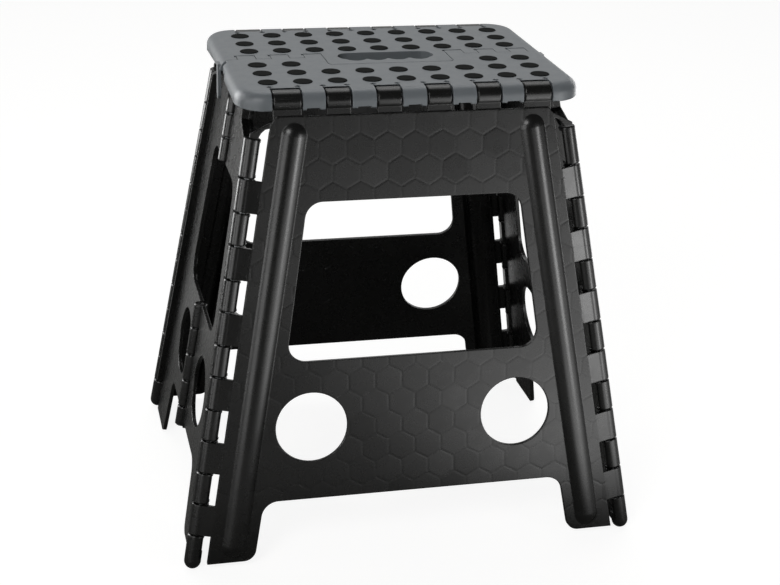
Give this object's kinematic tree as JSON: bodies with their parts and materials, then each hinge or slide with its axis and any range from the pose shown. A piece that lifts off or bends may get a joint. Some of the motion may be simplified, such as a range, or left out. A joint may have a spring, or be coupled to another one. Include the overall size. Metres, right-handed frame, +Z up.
{
  "type": "folding step stool",
  "caption": "Folding step stool with a dotted grey seat and handle slot on splayed black leg panels; the sides fold inwards and the seat folds up in the middle.",
  "frame": {"origin": "centre of the footprint at floor level, the stool standing open", "axes": "+Z up; +X along the seat to the right of a person facing the front leg panel; +Y from the front leg panel towards the back leg panel"},
  "size_m": [0.4008, 0.3376, 0.4026],
  "materials": {
    "grey_plastic": "satin injection-moulded polypropylene, mid grey",
    "black_plastic": "semi-gloss injection-moulded polypropylene, black, with a shallow hexagon pattern",
    "grip_pads": "soft matt thermoplastic rubber, black",
    "pin_steel": "drawn steel rod"
  },
  "bodies": {
    "front_leg": {"front_leg_panel": "black_plastic", "front_left_pin": "pin_steel", "front_right_pin": "pin_steel", "seat_front_pin": "pin_steel"},
    "left_front_side_body": {"left_front_side": "black_plastic", "left_upper_pin": "pin_steel", "left_lower_pin": "pin_steel"},
    "left_rear_side_body": {"left_rear_side": "black_plastic"},
    "back_leg": {"back_leg_panel": "black_plastic", "back_left_pin": "pin_steel"},
    "right_front_side_body": {"right_front_side": "black_plastic", "right_upper_pin": "pin_steel", "right_lower_pin": "pin_steel"},
    "right_rear_side_body": {"right_rear_side": "black_plastic", "back_right_pin": "pin_steel"},
    "seat_front_body": {"seat_front": "grey_plastic", "grip_dots_front": "grip_pads", "seat_middle_left_pin": "pin_steel", "seat_middle_right_pin": "pin_steel"},
    "seat_rear_body": {"seat_rear": "grey_plastic", "grip_dots_rear": "grip_pads", "seat_back_pin": "pin_steel"}
  },
  "joints": [
    {"name": "left_front_fold", "type": "hinge", "parent": "front_leg", "child": "left_front_side_body", "pos_m": [-0.16059, -0.13086, 0.2], "axis": [-0.1652, -0.1346, -0.977], "range_deg": [0, 84]},
    {"name": "left_middle_fold", "type": "hinge", "parent": "left_front_side_body", "child": "left_rear_side_body", "pos_m": [-0.16059, 0, 0.2], "axis": [0.1667, 0, 0.986], "range_deg": [0, 165.53]},
    {"name": "left_rear_fold", "type": "hinge", "parent": "left_rear_side_body", "child": "back_leg", "pos_m": [-0.16059, 0.13086, 0.2], "axis": [-0.1652, 0.1346, -0.977], "range_deg": [0, 84]},
    {"name": "right_front_fold", "type": "hinge", "parent": "front_leg", "child": "right_front_side_body", "pos_m": [0.16059, -0.13086, 0.2], "axis": [-0.1652, 0.1346, 0.977], "range_deg": [0, 84]},
    {"name": "right_middle_fold", "type": "hinge", "parent": "right_front_side_body", "child": "right_rear_side_body", "pos_m": [0.16059, 0, 0.2], "axis": [0.1667, 0, -0.986], "range_deg": [0, 165.53]},
    {"name": "seat_front_fold", "type": "hinge", "parent": "front_leg", "child": "seat_front_body", "pos_m": [0, -0.1043, 0.3928], "axis": [1, 0, 0], "range_deg": [0, 78.59]},
    {"name": "seat_middle_fold", "type": "hinge", "parent": "seat_front_body", "child": "seat_rear_body", "pos_m": [0, 0, 0.3928], "axis": [-1, 0, 0], "range_deg": [0, 165.53]}
  ],
  "couplings": [
    {"joint": "left_middle_fold", "follows": "left_front_fold", "ratio": 1.97},
    {"joint": "left_rear_fold", "follows": "left_front_fold", "ratio": 1},
    {"joint": "right_front_fold", "follows": "left_front_fold", "ratio": 1},
    {"joint": "right_middle_fold", "follows": "left_front_fold", "ratio": 1.97},
    {"joint": "seat_front_fold", "follows": "left_front_fold", "ratio": 0.935},
    {"joint": "seat_middle_fold", "follows": "left_front_fold", "ratio": 1.97}
  ]
}
